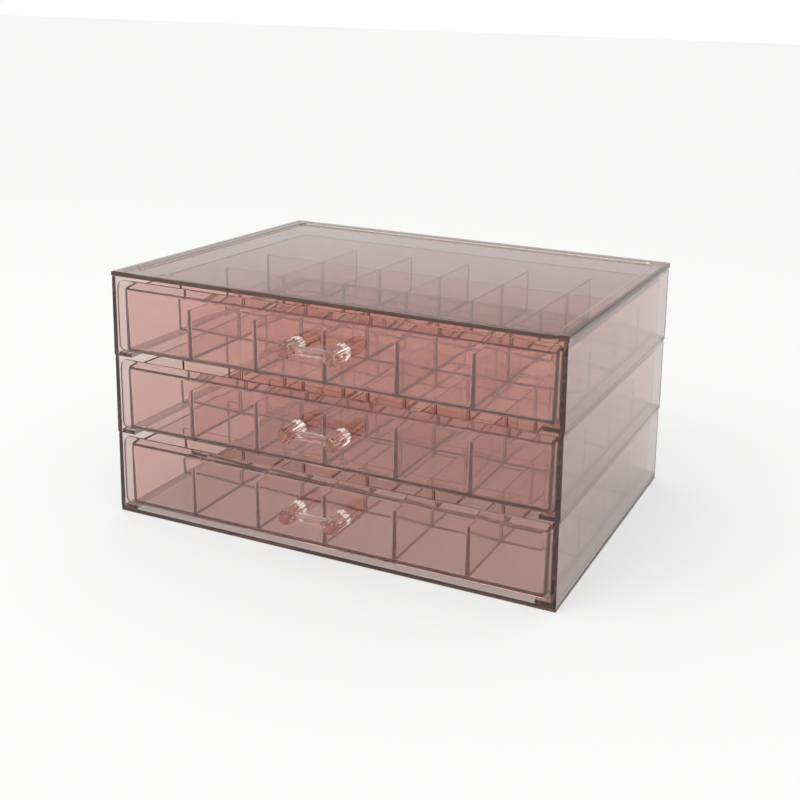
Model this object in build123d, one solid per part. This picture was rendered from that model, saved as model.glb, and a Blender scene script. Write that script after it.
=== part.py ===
from build123d import *
import os

# Jewellery storage box: three stacked tier frames, a cover, a base plate and three drawers.
# Millimetres. X is to the right, Y to the back, Z up.
# The origin is the centre of the underside of the base plate.

# Case
case_w = 240.0
case_d = 172.0
base_t = 2.0
tier_h = 40.95
cover_t = 2.35
cover_edge_chamfer = 0.3
wall_t = 2.6
wall_draft = 0.5
case_rear_r = 2.5
tier_names = ["bottom", "middle", "top"]

# Film of clear cement between bonded pieces
cement_t = 0.05

# Ledges that the drawers run on
ledge_w = 7.7
ledge_t = 2.0
ledge_front_inset = 0.4

# Tongue that locates each level on the one below
tongue_t = 0.9
tongue_h = 1.4
tongue_side_gap = 0.1
tongue_end_gap = 0.2
tongue_front_inset = 6.0

# Recess in the cover
recess_depth = 1.0
recess_side_rim = 7.5
recess_front_rim = 8.0
recess_rear_rim = 6.0
recess_corner_r = 5.0

# Drawer tray
tray_side_gap = 3.0
tray_back_gap = 1.5
tray_lift_gap = 0.3
tray_wall_t = 1.8
tray_below_front = 5.0
tray_floor_t = 1.6
tray_corner_r = 3.0
tray_foot_r = 2.4
pocket_columns = 6
pocket_rows = 4

# Ribs between the pockets
rib_top_t = 1.0
rib_foot_t = 1.8
rib_below_tray = 5.6

# Drawer front
front_t = 2.2
front_to_front_gap = 5.0
front_side_gap = 0.5
front_above_tray_foot = 0.9
front_corner_r = 3.0
front_edge_r = 0.6
front_slope_h = 5.0
front_slope_t = 1.3

# Handle
post_pitch = 24.0
post_length = 14.0
post_r = 4.2
post_sides = 10
post_tip_chamfer = 1.2
post_root_chamfer = 0.3
rod_r = 2.2
rod_reach = 9.0
rod_depth_in_post = 3.0
rod_gap = 0.05
rod_end_chamfer = 0.3
spigot_r = 1.5
spigot_gap = 0.05
spigot_rooted = 0.5

# How far joined forms run into each other, and cutting forms past the part
rooted = 0.6
past = 1.0

# Worked out from the sizes above
front_y = -case_d / 2
back_y = case_d / 2
inner_x = case_w / 2 - wall_t
tier_pitch = tier_h + cement_t
tongue_slot_t = tongue_t + 2 * tongue_side_gap
front_h = tier_pitch - front_to_front_gap
tray_wall_h = front_above_tray_foot + front_h - tray_below_front
rib_h = tray_wall_h - tray_floor_t - rib_below_tray
tray_w = 2 * (inner_x - tray_side_gap)
tray_front_y = front_y + front_t + cement_t
tray_back_y = back_y - wall_t - tray_back_gap
tray_d = tray_back_y - tray_front_y
pocket_w_all = tray_w - 2 * tray_wall_t
pocket_d_all = tray_d - 2 * tray_wall_t
column_pitch = pocket_w_all / pocket_columns
row_pitch = pocket_d_all / pocket_rows
front_w = 2 * (inner_x - front_side_gap)


def upright_edges(part, low_y):
    """The edges behind a given y that rise more than they run."""
    edges = part.edges().filter_by(lambda e: e.bounding_box().size.Z > e.length / 2)
    return edges.filter_by(lambda e: e.center().Y > low_y)


def block(x0, x1, y0, y1, z0, z1):
    """A plain block between two corners."""
    middle = Pos((x0 + x1) / 2, (y0 + y1) / 2, (z0 + z1) / 2)
    return middle * Box(x1 - x0, y1 - y0, z1 - z0)


def three_sides(outer_x, outer_y, thick, start_y, z0, z1):
    """Left, right and back strips of one thickness, open at the front."""
    outside = block(-outer_x, outer_x, start_y, outer_y, z0, z1)
    inner_x = outer_x - thick
    inside = block(-inner_x, inner_x, start_y - past, outer_y - thick, z0 - past, z1 + past)
    return outside - inside


def tongue(z):
    """The strip under a level that drops inside the level below it."""
    outer_x = inner_x + tongue_slot_t - tongue_side_gap
    outer_y = back_y - wall_t + tongue_slot_t - tongue_side_gap
    start_y = front_y + tongue_front_inset + tongue_side_gap
    return three_sides(outer_x, outer_y, tongue_t, start_y, z - tongue_h, z + rooted)


def base_plate():
    plate = block(-case_w / 2, case_w / 2, front_y, back_y, 0, base_t)
    return fillet(upright_edges(plate, 0), case_rear_r)


def tier_frame(z, with_tongue):
    """Left, right and back walls with drafted outsides, and the two ledges."""
    foot = Pos(0, 0, z) * Rectangle(case_w, case_d)
    head = Pos(0, -wall_draft / 2, z + tier_h) * Rectangle(case_w - 2 * wall_draft, case_d - wall_draft)
    shell = loft([foot.face(), head.face()])
    shell = fillet(upright_edges(shell, 0), case_rear_r)
    shell -= block(-inner_x, inner_x, front_y - past, back_y - wall_t, z - past, z + tier_h + past)
    slot_x = inner_x + tongue_slot_t
    slot_y = back_y - wall_t + tongue_slot_t
    slot_z = z + tier_h - tongue_h - tongue_end_gap
    shell -= three_sides(slot_x, slot_y, tongue_slot_t, front_y + tongue_front_inset, slot_z, z + tier_h + past)
    ledge_y0 = front_y + ledge_front_inset
    ledge_y1 = back_y - wall_t + rooted
    for side in (-1, 1):
        x0, x1 = sorted([side * (inner_x + rooted), side * (inner_x - ledge_w)])
        shell += block(x0, x1, ledge_y0, ledge_y1, z, z + ledge_t)
    if with_tongue:
        shell += tongue(z)
    return shell


def top_cover(z):
    """Flat cover with a raised rim and a tongue on its underside."""
    plate = block(-case_w / 2, case_w / 2, front_y, back_y, z, z + cover_t)
    plate = fillet(upright_edges(plate, 0), case_rear_r)
    plate = chamfer(plate.faces().sort_by(Axis.Z)[-1].edges(), cover_edge_chamfer)
    recess_w = case_w - 2 * recess_side_rim
    recess_d = case_d - recess_front_rim - recess_rear_rim
    recess_y = front_y + recess_front_rim + recess_d / 2
    outline = RectangleRounded(recess_w, recess_d, recess_corner_r)
    recess = Pos(0, recess_y, z + cover_t - recess_depth) * extrude(outline, recess_depth + past)
    return plate - recess + tongue(z)


def tray(z):
    """Open tray: floor and four walls."""
    body = block(-tray_w / 2, tray_w / 2, tray_front_y, tray_back_y, z, z + tray_wall_h)
    body = fillet(upright_edges(body, front_y), tray_corner_r)
    body = fillet(body.faces().sort_by(Axis.Z)[0].edges(), tray_foot_r)
    hollow_y0 = tray_front_y + tray_wall_t
    hollow_y1 = tray_back_y - tray_wall_t
    hollow_x = tray_w / 2 - tray_wall_t
    body -= block(-hollow_x, hollow_x, hollow_y0, hollow_y1, z + tray_floor_t, z + tray_wall_h + past)
    for x in (-post_pitch / 2, post_pitch / 2):
        hole = Cylinder(spigot_r + spigot_gap, 2 * (tray_wall_t + past), rotation=(90, 0, 0))
        body -= Pos(x, tray_front_y, handle_z(z)) * hole
    return body


def rib_profile():
    """Section of a rib, wider at its foot, standing on the floor."""
    foot = rib_foot_t / 2
    head = rib_top_t / 2
    return Polyline((-foot, 0), (foot, 0), (head, rib_h), (-head, rib_h), close=True)


def dividers(z):
    """Long ribs from front to back, and short cross ribs that fit between them."""
    floor_z = z + tray_floor_t
    y0 = tray_front_y + tray_wall_t
    long_section = make_face(Plane((0, y0, floor_z), x_dir=(1, 0, 0), z_dir=(0, -1, 0)) * rib_profile())
    long_rib = extrude(long_section, -pocket_d_all)
    column_x = [-pocket_w_all / 2 + column_pitch * i for i in range(1, pocket_columns)]
    long_ribs = [Pos(x, 0, 0) * long_rib for x in column_x]
    x0 = -pocket_w_all / 2
    cross_section = make_face(Plane((x0, 0, floor_z), x_dir=(0, 1, 0), z_dir=(1, 0, 0)) * rib_profile())
    cross_ribs = []
    for i in range(1, pocket_rows):
        whole = Pos(0, y0 + row_pitch * i, 0) * extrude(cross_section, pocket_w_all)
        for rib in long_ribs:
            whole -= rib
        cross_ribs += list(whole.solids())
    return Compound(children=[rib.solid() for rib in long_ribs] + cross_ribs)


def handle_z(z):
    """Height of the handle above the ground for a tray whose foot is at z."""
    return z + front_above_tray_foot + front_h / 2


def front_panel(z):
    """Plate with rounded corners, whose front slopes back along its upper edge."""
    at = Plane((0, front_y, handle_z(z)), x_dir=(1, 0, 0), z_dir=(0, -1, 0))
    plate = extrude(at * RectangleRounded(front_w, front_h, front_corner_r), -front_t)
    plate = fillet(plate.faces().sort_by(Axis.Y)[0].edges(), front_edge_r)
    high_z = handle_z(z) + front_h / 2
    wedge = Polyline(
        (front_y - past, high_z + past),
        (front_y - past, high_z - front_slope_h),
        (front_y, high_z - front_slope_h),
        (front_y + front_slope_t, high_z),
        (front_y + front_slope_t, high_z + past),
        close=True,
    )
    plate -= extrude(make_face(Plane.YZ * wedge), front_w, both=True)
    for x in (-post_pitch / 2, post_pitch / 2):
        hole = Cylinder(spigot_r + spigot_gap, 2 * (front_t + past), rotation=(90, 0, 0))
        plate -= Pos(x, front_y, handle_z(z)) * hole
    return plate


def handle_post(side, z):
    """Faceted post with a chamfered tip, a spigot behind and a socket for the rod."""
    root = (side * post_pitch / 2, front_y - cement_t, handle_z(z))
    at = Plane(root, x_dir=(1, 0, 0), z_dir=(0, -1, 0))
    prism = extrude(RegularPolygon(post_r, post_sides), post_length)
    prism = chamfer(prism.faces().sort_by(Axis.Z)[-1].edges(), post_tip_chamfer)
    prism = chamfer(prism.faces().sort_by(Axis.Z)[0].edges(), post_root_chamfer)
    spigot_length = front_t + tray_wall_t + 2 * cement_t
    spigot = Cylinder(spigot_r, spigot_length + spigot_rooted)
    prism += Pos(0, 0, (spigot_rooted - spigot_length) / 2) * spigot
    socket_from = post_r - rod_depth_in_post
    socket = Cylinder(rod_r + rod_gap, post_r * 2, rotation=(0, 90, 0))
    prism -= Pos(-side * (socket_from + post_r), 0, rod_reach) * socket
    return at * prism


def handle_rod(z):
    """Round rod between the two posts."""
    length = post_pitch - 2 * (post_r - rod_depth_in_post)
    rod = Cylinder(rod_r, length, rotation=(0, 90, 0))
    rod = chamfer(rod.edges().filter_by(GeomType.CIRCLE), rod_end_chamfer)
    return Pos(0, front_y - cement_t - rod_reach, handle_z(z)) * rod


nodes = {"base_plate": base_plate()}
for level, name in enumerate(tier_names):
    tier_z = base_t + cement_t + level * tier_pitch
    tray_z = tier_z + ledge_t + tray_lift_gap
    nodes["frame_" + name] = tier_frame(tier_z, level > 0)
    nodes["tray_" + name] = tray(tray_z)
    nodes["dividers_" + name] = dividers(tray_z)
    nodes["front_panel_" + name] = front_panel(tray_z)
    nodes["handle_post_left_" + name] = handle_post(-1, tray_z)
    nodes["handle_post_right_" + name] = handle_post(1, tray_z)
    nodes["handle_rod_" + name] = handle_rod(tray_z)
nodes["top_cover"] = top_cover(base_t + cement_t + len(tier_names) * tier_pitch)

os.makedirs("parts", exist_ok=True)
for name, shape in nodes.items():
    export_step(shape, "parts/" + name + ".step")
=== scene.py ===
import math

import bpy
from mathutils import Matrix, Vector


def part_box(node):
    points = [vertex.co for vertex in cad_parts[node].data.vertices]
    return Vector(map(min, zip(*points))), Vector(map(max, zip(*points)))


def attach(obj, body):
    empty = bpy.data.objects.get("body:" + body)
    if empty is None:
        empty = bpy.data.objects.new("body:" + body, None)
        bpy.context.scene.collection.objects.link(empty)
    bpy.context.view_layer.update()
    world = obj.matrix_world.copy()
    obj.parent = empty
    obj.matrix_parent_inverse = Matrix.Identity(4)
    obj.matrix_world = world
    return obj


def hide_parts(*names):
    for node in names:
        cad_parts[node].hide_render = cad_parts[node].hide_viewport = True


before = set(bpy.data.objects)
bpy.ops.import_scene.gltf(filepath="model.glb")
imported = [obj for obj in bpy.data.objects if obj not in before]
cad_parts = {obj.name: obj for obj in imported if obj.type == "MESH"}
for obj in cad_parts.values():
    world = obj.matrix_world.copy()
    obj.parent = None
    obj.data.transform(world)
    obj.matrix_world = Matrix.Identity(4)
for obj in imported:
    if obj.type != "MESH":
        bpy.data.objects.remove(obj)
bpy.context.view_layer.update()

MM = 0.001
LEVELS = ("bottom", "middle", "top")
CASE_NODES = ("base_plate", "frame_bottom", "frame_middle", "frame_top", "top_cover")


def linear(hex_colour):
    """An sRGB hex colour as linear red, green and blue, with an alpha of 1."""
    parts = [int(hex_colour[i:i + 2], 16) / 255 for i in (1, 3, 5)]
    return [c / 12.92 if c <= 0.04045 else ((c + 0.055) / 1.055) ** 2.4 for c in parts] + [1.0]


def add(tree, kind, settings=None, sources=(), **links):
    """Adds one node with its settings and links.

    settings go by the name of a socket or a property. sources fill the sockets in
    their order, by a link or by a plain number, and links fill them by name.
    """
    node = tree.nodes.new(kind)
    for name, value in (settings or {}).items():
        if name in node.inputs:
            node.inputs[name].default_value = value
        else:
            setattr(node, name, value)
    for socket, source in zip(node.inputs, sources):
        if isinstance(source, float):
            socket.default_value = source
        else:
            tree.links.new(source, socket)
    for name, source in links.items():
        tree.links.new(source, node.inputs[name.replace("_", " ")])
    return node


# A moulded face is never quite flat: it has waves this long, which bend what it mirrors a little
RIPPLE_LENGTH = 60 * MM
RIPPLE_HEIGHT = 0.4 * MM
RIPPLE_STRENGTH = 0.08
RIPPLE_DETAIL = 1.5

# A round value for clear plastic, a little under the 1.59 that is typical of polystyrene
PLASTIC_IOR = 1.5


def tinted_polystyrene(name, skin, tint, depth):
    """Clear polystyrene, moulded in a polished steel mould and tinted all through.

    To the eye its faces are glossy and clear, and its edges, seen end on, go dark.
    skin is what its surface lets through, and tint is what is left of white light
    after this depth of plastic.
    """
    material = bpy.data.materials.new(name)
    material.use_nodes = True
    tree = material.node_tree
    tree.nodes.clear()
    place = add(tree, "ShaderNodeTexCoord")
    ripple = add(
        tree,
        "ShaderNodeTexNoise",
        {"Scale": 1 / RIPPLE_LENGTH, "Detail": RIPPLE_DETAIL},
        Vector=place.outputs["Object"],
    )
    bump = add(
        tree,
        "ShaderNodeBump",
        {"Strength": RIPPLE_STRENGTH, "Distance": RIPPLE_HEIGHT},
        Height=ripple.outputs["Fac"],
    )
    surface = add(
        tree,
        "ShaderNodeBsdfPrincipled",
        {
            "Base Color": linear(skin),
            "IOR": PLASTIC_IOR,
            "Roughness": 0.0,
            "Transmission Weight": 1.0,
        },
        Normal=bump.outputs["Normal"],
    )
    colour = linear(tint)
    strongest = max(-math.log(c) for c in colour[:3])
    shares = [1 - (-math.log(c) / strongest) for c in colour[:3]] + [1.0]
    inside = add(
        tree,
        "ShaderNodeVolumeAbsorption",
        {"Color": shares, "Density": strongest / depth},
    )
    add(
        tree,
        "ShaderNodeOutputMaterial",
        Surface=surface.outputs["BSDF"],
        Volume=inside.outputs["Volume"],
    )
    return material


# The case is a smoky, greyish rose, which dims what lies behind it
CASE_PLASTIC = tinted_polystyrene("polystyrene_smoky_rose", "#E1D5D1", "#E3D8D3", 30 * MM)

# The drawers are a warm salmon rose, deeper where more ribs lie behind each other
DRAWER_PLASTIC = tinted_polystyrene("polystyrene_salmon_rose", "#FEF4F1", "#DBBCB7", 20 * MM)

# The pulls are almost clear, so that their flutes sparkle
HANDLE_PLASTIC = tinted_polystyrene("polystyrene_pale_rose", "#F9F1EE", "#E6D2CB", 20 * MM)


# The tray: its floor, its corners, and the ribs that part its pockets
COLUMNS = 6
ROWS = 4
RIB_FOOT = 1.8 * MM
RIB_TOP = 1.0 * MM
FLOOR = 1.6 * MM
TRAY_CORNER = 3 * MM
TRAY_CORNER_STEPS = 6
TRAY_FOOT_ROUND = 2.4 * MM
TRAY_FOOT_STEPS = 5
POCKET_FILLET = 0.8 * MM
POCKET_FILLET_STEPS = 4
TRAY_EDGE_ROUND = 0.2 * MM

# The drawer's front
FRONT_CORNER = 3 * MM
FRONT_CORNER_STEPS = 8
SLOPE_HEIGHT = 5 * MM
SLOPE_DEPTH = 1.3 * MM
FRONT_EDGE_ROUND = 0.5 * MM
FRONT_EDGE_STEPS = 3

# The pull. Its posts and its rod are cylinders laid down by a quarter turn
QUARTER_TURN = math.radians(90)
CEMENT = 0.05 * MM
RIDGES = 12
FLUTE = 0.84
TIP_LENGTH = 1.6 * MM
TIP_TAPER = 0.74
ROD_SIDES = 32

# The case. A point nearer to a side of the box than DRAFT is on an outer face
DRAFT = 0.9 * MM
SEAM_ROUND = 0.7 * MM
SEAM_LENGTH = 20 * MM
BRIM_ROUND = 0.5 * MM
CHOSEN_EDGE_STEPS = 3
CASE_EDGE_ROUND = 0.35 * MM
SOFT_EDGE_STEPS = 2

# How far a form that cuts goes past what it cuts, and what counts as the same place
OVERLAP = 0.5 * MM
NEAR = 0.1 * MM
SAME_POINT = 0.005 * MM

# What counts as a flat joint between faces, and from where an edge is sharp
FLAT_ANGLE = math.radians(0.5)
SHARP_ANGLE = math.radians(35)

# A face looks along an axis when its normal reaches this far along it
FACING = 0.9


def deselect():
    bpy.ops.object.select_all(action="DESELECT")


def pick(thing):
    """Makes one object the only one selected."""
    deselect()
    thing.select_set(True)
    bpy.context.view_layer.objects.active = thing


def block(low, high):
    """A block between two corners, with its place in its mesh."""
    deselect()
    middle = (Vector(low) + Vector(high)) / 2
    bpy.ops.mesh.primitive_cube_add(size=1, location=middle, scale=Vector(high) - Vector(low))
    bpy.ops.object.transform_apply(location=True, rotation=True, scale=True)
    return bpy.context.active_object


def choose_faces(thing, wanted):
    """Enters edit mode with only the faces selected whose centre and normal pass the test."""
    pick(thing)
    bpy.ops.object.mode_set(mode="EDIT")
    bpy.ops.mesh.select_mode(type="FACE")
    bpy.ops.mesh.select_all(action="DESELECT")
    bpy.ops.object.mode_set(mode="OBJECT")
    for face in thing.data.polygons:
        face.select = wanted(face.center, face.normal)
    bpy.ops.object.mode_set(mode="EDIT")


def choose_edges(thing, wanted):
    """Enters edit mode with only the edges selected whose two ends pass the test."""
    pick(thing)
    bpy.ops.object.mode_set(mode="EDIT")
    bpy.ops.mesh.select_mode(type="EDGE")
    bpy.ops.mesh.select_all(action="DESELECT")
    bpy.ops.object.mode_set(mode="OBJECT")
    points = thing.data.vertices
    for edge in thing.data.edges:
        a, b = (points[i].co for i in edge.vertices)
        edge.select = wanted(a, b)
    bpy.ops.object.mode_set(mode="EDIT")


def done():
    """Leaves edit mode."""
    bpy.ops.object.mode_set(mode="OBJECT")


def round_edges(thing, wanted, width, steps):
    """Rounds only the edges that pass the test."""
    choose_edges(thing, wanted)
    bpy.ops.mesh.bevel(offset=width, segments=steps, affect="EDGES")
    done()


def split_at(thing, point, normal):
    """Splits the faces of a solid along a plane and keeps both sides."""
    choose_faces(thing, lambda centre, facing: True)
    bpy.ops.mesh.bisect(plane_co=point, plane_no=normal)
    done()


def apply_modifier(thing, kind, **settings):
    """Adds one modifier with its settings and applies it."""
    pick(thing)
    bpy.ops.object.modifier_add(type=kind)
    modifier = thing.modifiers[-1]
    for name, value in settings.items():
        setattr(modifier, name, value)
    bpy.ops.object.modifier_apply(modifier=modifier.name)


def fuse(base, others):
    """Makes other solids one solid with the base."""
    for other in others:
        apply_modifier(base, "BOOLEAN", operation="UNION", solver="EXACT", object=other)
        bpy.data.objects.remove(other)


def cut(base, form):
    """Cuts one form out of the base."""
    apply_modifier(base, "BOOLEAN", operation="DIFFERENCE", solver="EXACT", object=form)
    bpy.data.objects.remove(form)


def join(things):
    """Puts several objects' meshes in the first one."""
    deselect()
    for thing in things:
        thing.select_set(True)
    bpy.context.view_layer.objects.active = things[0]
    bpy.ops.object.join()
    return things[0]


def tidy_faces(thing):
    """Merges doubles and dissolves the edges inside flat faces."""
    pick(thing)
    bpy.ops.object.mode_set(mode="EDIT")
    bpy.ops.mesh.select_all(action="SELECT")
    bpy.ops.mesh.remove_doubles(threshold=SAME_POINT)
    bpy.ops.mesh.dissolve_limited(angle_limit=FLAT_ANGLE)
    done()


def soften(thing, width, steps=SOFT_EDGE_STEPS):
    """Rounds every sharp edge, as a mould does, by no more than there is room for."""
    apply_modifier(
        thing,
        "BEVEL",
        width=width,
        segments=steps,
        limit_method="ANGLE",
        angle_limit=SHARP_ANGLE,
        use_clamp_overlap=True,
    )


def moved_copy(thing, offset):
    """A copy with its own mesh, moved."""
    pick(thing)
    bpy.ops.object.duplicate(linked=False)
    copy = bpy.context.active_object
    copy.data.transform(Matrix.Translation(offset))
    return copy


def finish_piece(thing, name, body, material, slot, *nodes):
    """Names the piece, gives it its plastic and its body, and hides the nodes that it stands
    for.
    """
    thing.name = name
    thing.data.name = name
    thing.data.materials.clear()
    thing.data.materials.append(material)
    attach(thing, body)
    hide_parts(*nodes)


def softened_node(node):
    """A copy of a case node's merged mesh with the rounded edges of a mould."""
    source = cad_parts[node]
    copy = bpy.data.objects.new(node + "_soft", source.data.copy())
    bpy.context.scene.collection.objects.link(copy)
    tidy_faces(copy)
    low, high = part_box(node)

    def outside(point):
        side = min(point.x - low.x, high.x - point.x)
        end = min(point.y - low.y, high.y - point.y)
        return min(side, end) < DRAFT

    def seam(a, b):
        level = abs(a.z - b.z) < NEAR
        return outside(a) and outside(b) and level and (a - b).length > SEAM_LENGTH

    def recess_brim(a, b):
        on_top = min(a.z, b.z) > high.z - NEAR
        return on_top and not outside(a) and not outside(b)

    if node.startswith("frame"):
        round_edges(copy, seam, SEAM_ROUND, CHOSEN_EDGE_STEPS)
    if node == "top_cover":
        round_edges(copy, recess_brim, BRIM_ROUND, CHOSEN_EDGE_STEPS)
    soften(copy, CASE_EDGE_ROUND)
    return copy


def pocket_form(low, high):
    """The form of one pocket: narrower at its floor, with the wide fillets of a mould."""
    form = block(low, high)
    size = high - low
    lean = RIB_FOOT - RIB_TOP
    choose_faces(form, lambda centre, normal: normal.z < -FACING)
    bpy.ops.transform.resize(value=((size.x - lean) / size.x, (size.y - lean) / size.y, 1))
    done()
    round_edges(
        form,
        lambda a, b: min(a.z, b.z) < high.z - OVERLAP,
        POCKET_FILLET,
        POCKET_FILLET_STEPS,
    )
    return form


def moulded_tray():
    """The bottom drawer's tray with its ribs, as one moulding."""
    low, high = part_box("tray_bottom")
    rib_low, rib_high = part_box("dividers_bottom")
    body = block(low, high)

    def upright(a, b):
        return abs(a.z - b.z) > FLOOR

    def at_foot(a, b):
        return max(a.z, b.z) < low.z + OVERLAP

    round_edges(body, upright, TRAY_CORNER, TRAY_CORNER_STEPS)
    round_edges(body, at_foot, TRAY_FOOT_ROUND, TRAY_FOOT_STEPS)

    room = block(
        (rib_low.x, rib_low.y, rib_high.z),
        (rib_high.x, rib_high.y, high.z + OVERLAP),
    )
    round_edges(
        room,
        lambda a, b: abs(a.z - b.z) > OVERLAP,
        POCKET_FILLET,
        POCKET_FILLET_STEPS,
    )
    cut(body, room)

    wide = (rib_high.x - rib_low.x - (COLUMNS - 1) * RIB_TOP) / COLUMNS
    deep = (rib_high.y - rib_low.y - (ROWS - 1) * RIB_TOP) / ROWS
    first = pocket_form(
        Vector((rib_low.x, rib_low.y, rib_low.z)),
        Vector((rib_low.x + wide, rib_low.y + deep, rib_high.z + OVERLAP)),
    )
    forms = []
    for column in range(COLUMNS):
        for row in range(ROWS):
            offset = (column * (wide + RIB_TOP), row * (deep + RIB_TOP), 0)
            forms.append(moved_copy(first, offset))
    bpy.data.objects.remove(first)
    cut(body, join(forms))
    tidy_faces(body)
    soften(body, TRAY_EDGE_ROUND)
    return body


def front_plate():
    """The bottom drawer's front: round corners, a sloped upper edge and a soft outline."""
    low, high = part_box("front_panel_bottom")
    plate = block(low, high)
    split_at(plate, (0, 0, high.z - SLOPE_HEIGHT), (0, 0, 1))
    near_top = high.z - NEAR
    near_foot = low.z + NEAR

    def upper_front_edge(a, b):
        return max(a.y, b.y) < low.y + NEAR and min(a.z, b.z) > near_top

    def corner(a, b):
        through = abs(a.y - b.y) > 3 * NEAR and abs(a.z - b.z) < MM and abs(a.x - b.x) < MM
        return through and (a.z > near_top or a.z < near_foot)

    choose_edges(plate, upper_front_edge)
    bpy.ops.transform.translate(value=(0, SLOPE_DEPTH, 0))
    done()
    round_edges(plate, corner, FRONT_CORNER, FRONT_CORNER_STEPS)
    soften(plate, FRONT_EDGE_ROUND, FRONT_EDGE_STEPS)
    return plate


def fluted_post(side):
    """One crystal post: ridges and flutes along it, and a tip that tapers with them."""
    low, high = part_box("handle_post_" + side + "_bottom")
    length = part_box("front_panel_bottom")[0].y - low.y - CEMENT
    middle = Vector(((low.x + high.x) / 2, low.y + length / 2, (low.z + high.z) / 2))
    deselect()
    bpy.ops.mesh.primitive_cylinder_add(
        vertices=2 * RIDGES,
        radius=(high.x - low.x) / 2,
        depth=length,
        location=middle,
        rotation=(QUARTER_TURN, 0, 0),
    )
    post = bpy.context.active_object
    bpy.ops.object.transform_apply(location=True, rotation=True, scale=True)

    def in_a_flute(point):
        turn = math.atan2(point.z - middle.z, point.x - middle.x) / math.pi * RIDGES
        return round(turn) % 2 == 1

    choose_edges(post, lambda a, b: abs(a.y - b.y) > MM and in_a_flute(a))
    bpy.ops.transform.resize(value=(FLUTE, 1, FLUTE), center_override=middle)
    done()
    split_at(post, (0, low.y + TIP_LENGTH, 0), (0, 1, 0))
    choose_edges(post, lambda a, b: max(a.y, b.y) < low.y + NEAR)
    bpy.ops.transform.resize(value=(TIP_TAPER, 1, TIP_TAPER), center_override=middle)
    done()
    return post


def crystal_pull():
    """Two fluted posts and the rod between them, polished as one clear pull."""
    left = fluted_post("left")
    right = fluted_post("right")
    low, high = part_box("handle_rod_bottom")
    deselect()
    bpy.ops.mesh.primitive_cylinder_add(
        vertices=ROD_SIDES,
        radius=(high.z - low.z) / 2,
        depth=high.x - low.x,
        location=(low + high) / 2,
        rotation=(0, QUARTER_TURN, 0),
    )
    rod = bpy.context.active_object
    bpy.ops.object.transform_apply(location=True, rotation=True, scale=True)
    fuse(left, [rod, right])
    return left


# The three drawers are alike, so the lowest one is modelled and copied to the other levels
drawer = (moulded_tray(), front_plate(), crystal_pull())
base_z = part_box("tray_bottom")[0].z
for level in LEVELS:
    pieces = drawer
    if level != "bottom":
        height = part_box("tray_" + level)[0].z - base_z
        pieces = [moved_copy(piece, (0, 0, height)) for piece in drawer]
    tray, front, pull = pieces
    body = "drawer_" + level
    finish_piece(
        tray,
        "drawer_tray_" + level,
        body,
        DRAWER_PLASTIC,
        "drawer_plastic",
        "tray_" + level,
        "dividers_" + level,
    )
    finish_piece(
        front,
        "drawer_front_" + level,
        body,
        DRAWER_PLASTIC,
        "drawer_plastic",
        "front_panel_" + level,
    )
    finish_piece(
        pull,
        "crystal_pull_" + level,
        body,
        HANDLE_PLASTIC,
        "handle_plastic",
        "handle_post_left_" + level,
        "handle_post_right_" + level,
        "handle_rod_" + level,
    )

for node in CASE_NODES:
    piece = softened_node(node)
    finish_piece(piece, node + "_moulding", "case", CASE_PLASTIC, "case_plastic", node)


WHITE = (1, 1, 1, 1)

# How much of the floor shows as white backdrop. The rest is lit paper, which keeps the shadow
FLOOR_BACKDROP = 0.55
FLOOR_SIZE = 40
FLOOR_GAP = 0.3 * MM

# The ceiling that gloss and clear plastic see dims between these two heights of a ray
CEILING_FROM = 0.05
CEILING_TO = 0.3
CEILING_DIM = 0.40
EVEN_LIGHT = 0.85

# The key lamp stands to the left, in front of the box and above it
LAMP_PLACE = (-0.4, -0.9, 1.1)
LAMP_TARGET = (0, 0, 0.06)
LAMP_SIZE = 0.8
LAMP_POWER = 5

# The camera that was fitted to the corners of the case in the photograph
CAMERA_AZIMUTH = math.radians(21.96)
CAMERA_ELEVATION = math.radians(13.72)
CAMERA_ROLL = math.radians(2.11)
CAMERA_PLACE = (0.2624, -0.5191, 0.2554)
CAMERA_SENSOR = 36
CAMERA_LENS = 50.94
CAMERA_NEAREST = 0.01
CAMERA_FARTHEST = 20

# The photograph's size and the point that the camera looks straight at, in pixels
PHOTO_SIZE = 800
PHOTO_CENTRE_X = 500
PHOTO_CENTRE_Y = 295

# With fewer bounces the light that is trapped in the edges is lost, and they go black
BOUNCES = 256


def backdrop_share(tree):
    """Is 1 for what sees the backdrop: the camera, gloss and clear plastic.

    It is 0 for matt surfaces, which get the even light.
    """
    rays = add(tree, "ShaderNodeLightPath")
    bent = (rays.outputs["Is Glossy Ray"], rays.outputs["Is Transmission Ray"])
    either = add(tree, "ShaderNodeMath", {"operation": "MAXIMUM"}, bent)
    both = (rays.outputs["Is Camera Ray"], either.outputs[0])
    return add(tree, "ShaderNodeMath", {"operation": "MAXIMUM"}, both).outputs[0]


def studio_floor():
    """A plain sheet of matt white paper: no gloss, and only a faint, soft shadow."""
    deselect()
    bpy.ops.mesh.primitive_plane_add(size=FLOOR_SIZE, location=(0, 0, -FLOOR_GAP))
    floor = bpy.context.active_object
    floor.name = "studio_floor"
    material = bpy.data.materials.new("matt_white_paper")
    material.use_nodes = True
    tree = material.node_tree
    tree.nodes.clear()
    paper = add(tree, "ShaderNodeBsdfDiffuse", {"Color": linear("#FCFBFA")})
    white = add(tree, "ShaderNodeEmission", {"Color": WHITE, "Strength": 1.0})
    share = (backdrop_share(tree), FLOOR_BACKDROP)
    glow = add(tree, "ShaderNodeMath", {"operation": "MULTIPLY"}, share)
    blend = (glow.outputs[0], paper.outputs[0], white.outputs[0])
    seen = add(tree, "ShaderNodeMixShader", None, blend)
    add(tree, "ShaderNodeOutputMaterial", Surface=seen.outputs[0])
    floor.data.materials.append(material)


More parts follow.
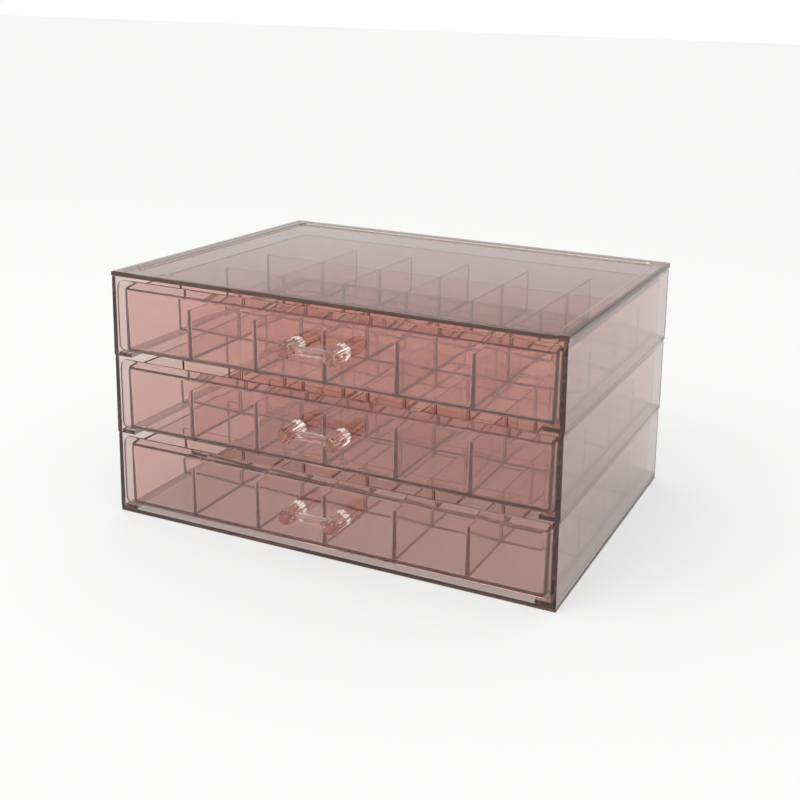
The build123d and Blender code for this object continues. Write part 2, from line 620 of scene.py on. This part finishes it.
def world_light():
    """A plain studio: even light, a white backdrop, and a ceiling for gloss and clear plastic.

    Matt surfaces get the even light. The camera sees only the white backdrop. Gloss and
    clear plastic see that backdrop too, and above it the ceiling, which is dimmer.
    """
    world = bpy.data.worlds.new("soft_studio")
    bpy.context.scene.world = world
    world.use_nodes = True
    tree = world.node_tree
    tree.nodes.clear()
    place = add(tree, "ShaderNodeTexCoord")
    split = add(tree, "ShaderNodeSeparateXYZ", Vector=place.outputs["Generated"])
    height = add(tree, "ShaderNodeValToRGB", Fac=split.outputs["Z"])
    backdrop, ceiling = height.color_ramp.elements
    backdrop.position = CEILING_FROM
    backdrop.color = WHITE
    ceiling.position = CEILING_TO
    ceiling.color = (CEILING_DIM, CEILING_DIM, CEILING_DIM, 1)
    rays = add(tree, "ShaderNodeLightPath")
    studio = add(tree, "ShaderNodeBackground", {"Strength": 1.0}, Color=height.outputs["Color"])
    white = add(tree, "ShaderNodeBackground", {"Color": WHITE, "Strength": 1.0})
    even = add(tree, "ShaderNodeBackground", {"Color": WHITE, "Strength": EVEN_LIGHT})
    camera_blend = (rays.outputs["Is Camera Ray"], studio.outputs[0], white.outputs[0])
    seen = add(tree, "ShaderNodeMixShader", None, camera_blend)
    whole_blend = (backdrop_share(tree), even.outputs[0], seen.outputs[0])
    whole = add(tree, "ShaderNodeMixShader", None, whole_blend)
    add(tree, "ShaderNodeOutputWorld", Surface=whole.outputs[0])


def key_lamp():
    """A square soft lamp that faces the middle of the box."""
    lamp = bpy.data.lights.new("key_lamp", "AREA")
    lamp.size = LAMP_SIZE
    lamp.energy = LAMP_POWER
    holder = bpy.data.objects.new("key_lamp", lamp)
    bpy.context.scene.collection.objects.link(holder)
    holder.location = LAMP_PLACE
    aim = Vector(LAMP_TARGET) - Vector(LAMP_PLACE)
    holder.rotation_euler = aim.to_track_quat("-Z", "Y").to_euler()


def photo_camera():
    """The photograph's viewpoint."""
    back = Vector((
        math.sin(CAMERA_AZIMUTH) * math.cos(CAMERA_ELEVATION),
        -math.cos(CAMERA_AZIMUTH) * math.cos(CAMERA_ELEVATION),
        math.sin(CAMERA_ELEVATION),
    ))
    right = Vector((0, 0, 1)).cross(back).normalized()
    up = back.cross(right)
    turned_right = right * math.cos(CAMERA_ROLL) + up * math.sin(CAMERA_ROLL)
    turned_up = up * math.cos(CAMERA_ROLL) - right * math.sin(CAMERA_ROLL)
    turn = Matrix((turned_right, turned_up, back)).transposed().to_4x4()
    camera = bpy.data.cameras.new("photo_camera")
    holder = bpy.data.objects.new("photo_camera", camera)
    bpy.context.scene.collection.objects.link(holder)
    holder.matrix_world = Matrix.Translation(CAMERA_PLACE) @ turn
    camera.sensor_width = CAMERA_SENSOR
    camera.lens = CAMERA_LENS
    camera.shift_x = (PHOTO_SIZE / 2 - PHOTO_CENTRE_X) / PHOTO_SIZE
    camera.shift_y = (PHOTO_CENTRE_Y - PHOTO_SIZE / 2) / PHOTO_SIZE
    camera.clip_start = CAMERA_NEAREST
    camera.clip_end = CAMERA_FARTHEST
    bpy.context.scene.camera = holder


studio_floor()
world_light()
key_lamp()
photo_camera()

scene = bpy.context.scene
scene.view_settings.view_transform = "Standard"
scene.cycles.max_bounces = BOUNCES
scene.cycles.transmission_bounces = BOUNCES
scene.cycles.glossy_bounces = BOUNCES
scene.cycles.volume_bounces = 0
